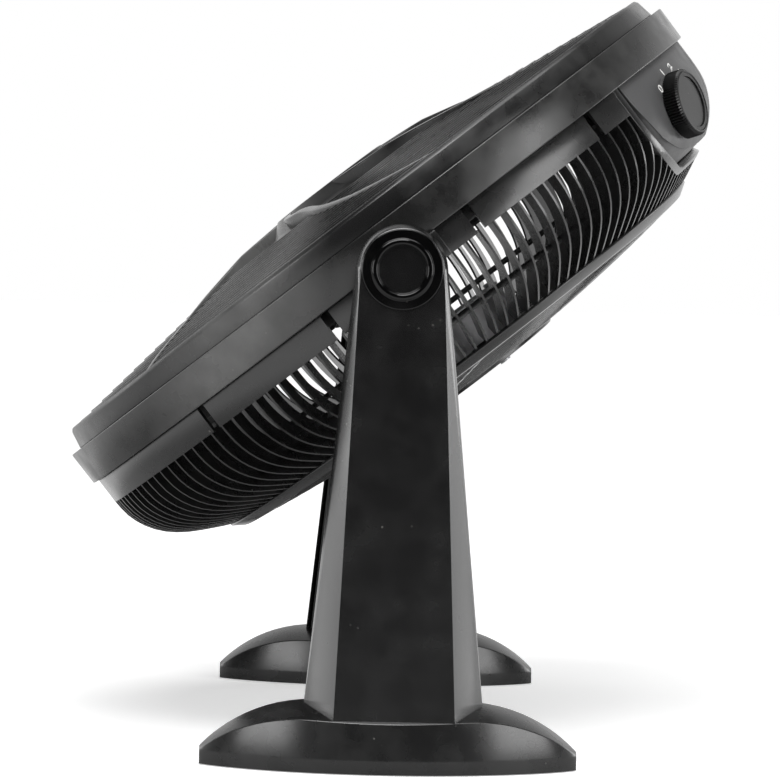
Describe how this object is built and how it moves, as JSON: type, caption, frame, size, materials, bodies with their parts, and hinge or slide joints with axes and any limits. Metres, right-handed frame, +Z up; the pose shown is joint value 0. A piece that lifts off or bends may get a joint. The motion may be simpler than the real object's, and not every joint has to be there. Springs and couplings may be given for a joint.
{
  "type": "air circulator fan",
  "caption": "Round air circulator fan that tilts between two legs on long feet, with a spiral front grille, ribbed rear grille and speed knob.",
  "frame": {"origin": "on the floor, midway between the feet, under the middle of the object's box", "axes": "+Z up, +X along the tilt axis to the leg beside the speed knob, and the fan's front faces -Y and up at rest"},
  "size_m": [0.604, 0.4105, 0.4728],
  "materials": {
    "front_grille_plastic": "satin moulded",
    "hub_plastic": "satin moulded",
    "ring_plastic": "satin moulded",
    "rear_grille_plastic": "satin moulded",
    "panel_plastic": "fine texture",
    "inner_plastic": "matte",
    "gland_rubber": "matte",
    "switch_plastic": "matte",
    "spindle_plastic": "matte",
    "knob_plastic": "fine texture",
    "nickel_steel": "nickel plated",
    "zinc_screws": "zinc plated",
    "cast_aluminium": "as cast",
    "laminated_steel": "stacked sheet",
    "copper_wire": "enamelled",
    "bearing_steel": "ground",
    "capacitor_case": "smooth",
    "impeller_plastic": "satin moulded",
    "nut_plastic": "satin moulded",
    "brass_insert": "knurled",
    "washer_nylon": "matte",
    "pad_rubber": "matte",
    "leg_plastic": "satin moulded",
    "foot_plastic": "satin moulded",
    "cap_gloss": "gloss"
  },
  "bodies": {
    "stand": {"leg_shell_right": "leg_plastic", "leg_shell_left": "leg_plastic", "leg_inner_cover_right": "inner_plastic", "leg_inner_cover_left": "inner_plastic", "pivot_cap_right": "cap_gloss", "pivot_cap_left": "cap_gloss", "foot_right": "foot_plastic", "foot_left": "foot_plastic", "friction_washers": "washer_nylon", "leg_cover_screws": "zinc_screws", "foot_pads": "pad_rubber", "foot_screws": "zinc_screws"},
    "head": {"front_grille": "front_grille_plastic", "hub_disc": "hub_plastic", "housing_ring": "ring_plastic", "rear_grille": "rear_grille_plastic", "ring_screws": "zinc_screws", "control_panel": "panel_plastic", "switch_cover": "inner_plastic", "switch_cover_screws": "zinc_screws", "cord_gland": "gland_rubber", "rotary_switch": "switch_plastic", "switch_nut": "nickel_steel", "motor_front_shield": "cast_aluminium", "motor_rear_shield": "cast_aluminium", "stator_core": "laminated_steel", "stator_windings": "copper_wire", "front_bearing": "bearing_steel", "rear_bearing": "bearing_steel", "motor_bolts": "zinc_screws", "motor_mount_screws": "zinc_screws", "run_capacitor": "capacitor_case", "pivot_bolts": "zinc_screws", "pivot_lock_washers": "nickel_steel", "trunnion_inserts": "brass_insert"},
    "rotor": {"impeller": "impeller_plastic", "impeller_nut": "nut_plastic", "motor_shaft": "bearing_steel", "rotor_core": "laminated_steel"},
    "knob": {"speed_knob": "knob_plastic", "switch_spindle": "spindle_plastic"}
  },
  "joints": [
    {"name": "head_tilt", "type": "hinge", "parent": "stand", "child": "head", "pos_m": [0, 0.0025, 0.2947], "axis": [1, 0, 0], "range_deg": [-38.4, 81.6]},
    {"name": "blade_spin", "type": "hinge", "parent": "head", "child": "rotor", "pos_m": [0, 0.0025, 0.2947], "axis": [0, -0.6211, 0.7837], "continuous": true},
    {"name": "knob_turn", "type": "hinge", "parent": "head", "child": "knob", "pos_m": [0.117, 0.17684, 0.40098], "axis": [-0.4782, -0.8306, -0.2853], "range_deg": [0, 97.5]}
  ]
}
